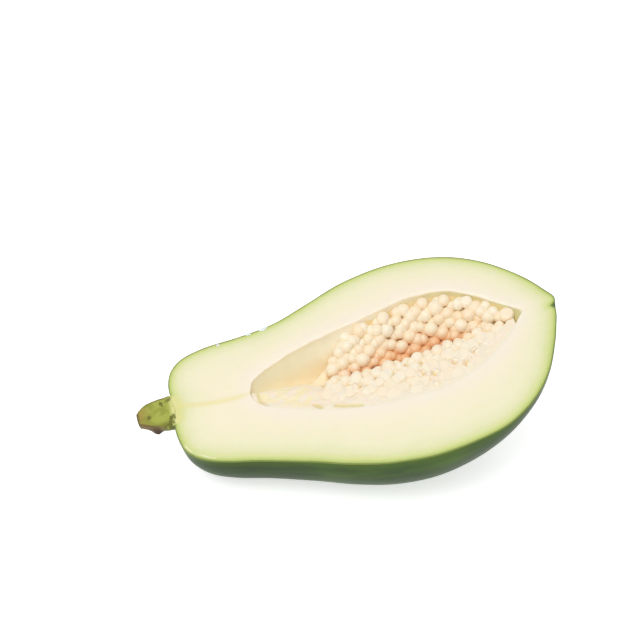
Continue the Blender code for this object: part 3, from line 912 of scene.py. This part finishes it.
def make_stem_finish():
    bark = Finish("stem_bark", IOR=1.45)
    place = bark.kept("own_place", "Vector")
    shaved, end = bark.kept("shaved"), bark.kept("cut_end")
    blotch = bark.grain(place, 0.16, 4.0)
    scar = bark.grain(place, 0.42, 3.0, (1, 0.7, 0.7))
    fine = bark.grain(place, 1.6, 4.0)
    olive, lime, brown = shade(92, 92, 26), shade(170, 176, 74), shade(92, 62, 30)
    x, y = bark.apart(place)
    greens = (0.35, olive), (0.52, shade(132, 140, 50)), (0.68, shade(160, 168, 76))
    colour = bark.ramp(blotch, greens)
    colour = bark.mix(y.step(5.0, 9.0) * 0.8, colour, shade(96, 70, 40))
    colour = bark.mix(scar.step(0.6, 0.72) * 0.8, colour, brown)
    colour = bark.mix(fine.step(0.66, 0.76) * 0.6, colour, shade(70, 60, 24))
    rings = (0.1, shade(70, 48, 34)), (0.5, shade(176, 150, 96)), (0.9, shade(206, 190, 140))
    wood = bark.ramp(end * (0.7 + 0.6 * blotch), rings)
    colour = bark.mix(end.step(0.02, 0.12), colour, wood)
    pith = bark.mix(x.step(-3.0, 0.6), lime, shade(226, 224, 150))
    pith = bark.mix((1 - x.step(-19.0, -11.0)) * 0.8, pith, shade(162, 142, 64))
    # Painted shade: the shaved face darkens to olive at its low near side by the base.
    low_side_shade = (1 - y.step(-7.5, -3.0)) * (1 - x.step(-4.0, 0.0))
    pith = bark.mix(low_side_shade * 0.8, pith, shade(112, 110, 34))
    pith = bark.mix(blotch.step(0.48, 0.62) * 0.6, pith, shade(136, 144, 48))
    colour = bark.mix(shaved, colour, pith)
    rind = 1 - (y + x * 0.45).step(-11.8, -10.6)
    colour = bark.mix(rind * 0.8, colour, shade(104, 78, 50))
    near_scar = bark.kept("scars")
    ragged = (near_scar * 0.9 + 3.2 * (scar - 0.5) + 1.4 * (fine - 0.5)).step(0.3, 0.6)
    colour = bark.mix(ragged * near_scar.step(0.02, 0.2) * 0.85, colour, shade(96, 98, 24))
    colour = bark.mix(bark.kept("bark_edge") * 0.85, colour, shade(86, 62, 38))
    colour = bark.mix(bark.kept("knob") * 0.95, colour, shade(62, 34, 14))
    colour = bark.mix(bark.kept("spot") * 0.9, colour, shade(206, 200, 150))
    bark.finish(
        Base_Color=colour,
        Roughness=0.48 + 0.25 * fine,
        Normal=bark.relief(scar, 0.6, 0.5, bark.relief(fine, 0.18, 0.5)),
    )
    return bark


stem_rows = smooth(STEM_STATIONS, STEM_SPANS)
turns = 2 * math.pi * (np.arange(STEM_SIDES) + 0.5) / STEM_SIDES
progress = np.linspace(0, 1, len(stem_rows))[:, None]
reach = np.repeat(stem_rows[:, 3:4], STEM_SIDES, axis=1)
knob = np.zeros_like(reach)
for knob_x, knob_turn, height in STEM_KNOBS:
    off = np.remainder(turns - math.radians(knob_turn) + math.pi, 2 * math.pi) - math.pi
    near = bump_shape((stem_rows[:, 0:1] - knob_x) / KNOB_LENGTH, 1) * bump_shape(off / KNOB_WIDTH, 1)
    reach = reach + height * near
    knob = np.maximum(knob, np.minimum(near * BROWN_KNOB_SPREAD, 1) * (height > BROWN_KNOB_FROM))
across, up = reach * np.cos(turns), reach * np.sin(turns)
far_rim = bump_shape(reach - across, FAR_RIM_WIDTH) * (stem_rows[:, 0:1] < FAR_RIM_BEYOND)
slant = STEM_SLANT * (SLANT_ACROSS * across + SLANT_UP * up) * progress
along_stem, side_middle, up_middle = (stem_rows[:, k:k + 1] for k in range(3))
stem_points = np.stack([along_stem - slant, side_middle + across, up_middle + up], axis=2)
bark_waves = BARK_WAVE * waves(stem_points * (0.5, 1, 1), 3.0, 12.0) - BARK_DRAW_IN
bark_waves += BARK_GRAIN * waves(stem_points, 1.2, 13.0)
outward = np.stack([0 * turns, np.cos(turns), np.sin(turns)], axis=1)
stem_points += outward * bark_waves[:, :, None]
middle = stem_points[-1].mean(axis=0)
caps = [middle + (stem_points[-1] - middle) * s for s in END_RINGS]
caps[1:] = [cap + (END_SINK, 0, 0) for cap in caps[1:]]
foot = stem_points[:1] * 0 + stem_points[0].mean(axis=0)
stem_points = np.concatenate([foot, stem_points, caps, [caps[-1] * 0 + middle]])
cut_end = np.zeros(stem_points.shape[:2])
cut_end[-len(END_RINGS) - 1:] = np.linspace(0.25, 1, len(END_RINGS) + 1)[:, None]
knob, far_rim = (np.pad(part, ((1, len(END_RINGS) + 1), (0, 0))) for part in (knob, far_rim))
stem_flat = stem_points.reshape(-1, 3)
past = (stem_flat - SHAVED_FROM) @ SHAVED_FACING
stem_flat -= np.maximum(past, 0)[:, None] * SHAVED_FACING
shaved = np.clip(past / SHAVED_PASSAGE + 0.5, 0, 1)
stem_flat[:, 2] -= shaved * SHAVED_ROUGH * (1 + waves(stem_flat, 2.5, 16.0))
scars = sum(
    bump_shape(np.linalg.norm(stem_flat[:, :2] - (x, y), axis=1), size) for x, y, size in STEM_SCARS
)
spot = bump_shape(np.linalg.norm(stem_flat - KNOB_SPOT, axis=1), SPOT_WIDTH)
broken_rim = bump_shape(stem_flat[:, 0] - BROKEN_END_AT, BROKEN_RIM_WIDTH)
bark_edge = np.maximum(far_rim.ravel(), broken_rim)
stem = add_piece(
    "stem_fine",
    stem_flat,
    ring_faces(len(stem_points), STEM_SIDES),
    {
        "shaved": shaved,
        "cut_end": cut_end.ravel(),
        "knob": knob.ravel(),
        "scars": np.clip(scars, 0, 1),
        "bark_edge": bark_edge,
        "spot": spot,
    },
    [make_stem_finish()],
)
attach(stem, "root")
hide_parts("stem")


# Drops of dried latex on the far rim. The cut skin bled them, and they set as small flat
# beads, white and glossy, that stick to the flesh.
LATEX_DROPS = (
    (62.7, 41.4, 1.3), (64.4, 41.9, 0.9), (60.9, 41.2, 0.8),
    (52.6, 41.0, 1.0), (54.0, 40.6, 0.7), (33.9, 39.4, 0.9),
)
DROP_STRETCH = 1.3
DROP_FLATNESS = 0.45
DROP_LUMP = 0.12
DROP_AT = -0.35


def make_latex_finish():
    latex = Finish("dried_latex", IOR=1.5, Subsurface_Weight=0.3, Subsurface_Scale=0.001)
    place = latex.kept("own_place", "Vector")
    skinned = latex.grain(place, 1.4, 2.0)
    colour = latex.ramp(skinned, ((0.35, shade(226, 236, 240)), (0.65, shade(250, 252, 252))))
    latex.finish(
        Base_Color=colour,
        Roughness=0.2 + 0.2 * skinned,
        Normal=latex.relief(skinned, 0.1, 0.3),
    )
    return latex


drops, drop_faces = [], []
for number, (x, y, size) in enumerate(LATEX_DROPS):
    lumps = 1 + DROP_LUMP * waves(bead, 0.8, number)[:, None]
    shape = (size * DROP_STRETCH, size, size * DROP_FLATNESS)
    drops.append(bead * lumps * shape + (x, y, DROP_AT))
    drop_faces.extend(tuple(number * len(bead) + k for k in face) for face in bead_faces)
latex = add_piece("latex_drops", np.vstack(drops), drop_faces, {}, [make_latex_finish()])
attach(latex, "root")


# The plain white surface that the half lies on, the studio's light and the camera. The surface
# glows a little, as painted light, so that the shadow stays small and close to the skin.
FLOOR_SIDE = 6.0
VIEW_AZIMUTH = math.radians(-10)
VIEW_ELEVATION = math.radians(40)
CAMERA_AT = (-0.13004, -0.64042, 0.64903)
LENS = 85.0
KEY_AT = (-0.5, -0.6, 1.4)
KEY_SIDE = 0.9
KEY_POWER = 11.0
FILL_AT = (0.5, 0.9, 1.2)
FILL_SIDE = 1.2
FILL_POWER = 2.0
ROOM_LIGHT = 0.56
TABLE_GLOW = 0.6
TABLE_COLOUR = (0.93, 0.93, 0.94, 1.0)
PURE_WHITE = (1.0, 1.0, 1.0, 1.0)

half_side = FLOOR_SIDE / 2
corners = [(x * half_side, y * half_side, 0.0) for x, y in ((-1, -1), (1, -1), (1, 1), (-1, 1))]
floor_mesh = bpy.data.meshes.new("floor")
floor_mesh.from_pydata(corners, [], [(0, 1, 2, 3)])
floor = bpy.data.objects.new("floor", floor_mesh)
bpy.context.scene.collection.objects.link(floor)
white = Finish(
    "white_table", Base_Color=TABLE_COLOUR, Roughness=0.6,
    Emission_Color=PURE_WHITE, Emission_Strength=TABLE_GLOW,
)
floor_mesh.materials.append(white.material)

world = bpy.data.worlds.new("studio")
bpy.context.scene.world = world
world.use_nodes = True
room = world.node_tree.nodes["Background"].inputs
room["Color"].default_value, room["Strength"].default_value = PURE_WHITE, ROOM_LIGHT


def softbox(name, place, side, power):
    lamp = bpy.data.lights.new(name, "AREA")
    lamp.shape = "SQUARE"
    lamp.size = side
    lamp.energy = power
    holder = bpy.data.objects.new(name, lamp)
    holder.location = place
    holder.rotation_euler = (-Vector(place)).to_track_quat("-Z", "Y").to_euler()
    bpy.context.scene.collection.objects.link(holder)


softbox("key", KEY_AT, KEY_SIDE, KEY_POWER)
softbox("fill", FILL_AT, FILL_SIDE, FILL_POWER)

lens = bpy.data.cameras.new("camera")
lens.lens = LENS
camera = bpy.data.objects.new("camera", lens)
camera.location = CAMERA_AT
back = Vector((
    math.sin(VIEW_AZIMUTH) * math.cos(VIEW_ELEVATION),
    -math.cos(VIEW_AZIMUTH) * math.cos(VIEW_ELEVATION),
    math.sin(VIEW_ELEVATION),
))
camera.rotation_euler = (-back).to_track_quat("-Z", "Y").to_euler()
bpy.context.scene.collection.objects.link(camera)
bpy.context.scene.camera = camera
bpy.context.scene.view_settings.view_transform = "Standard"
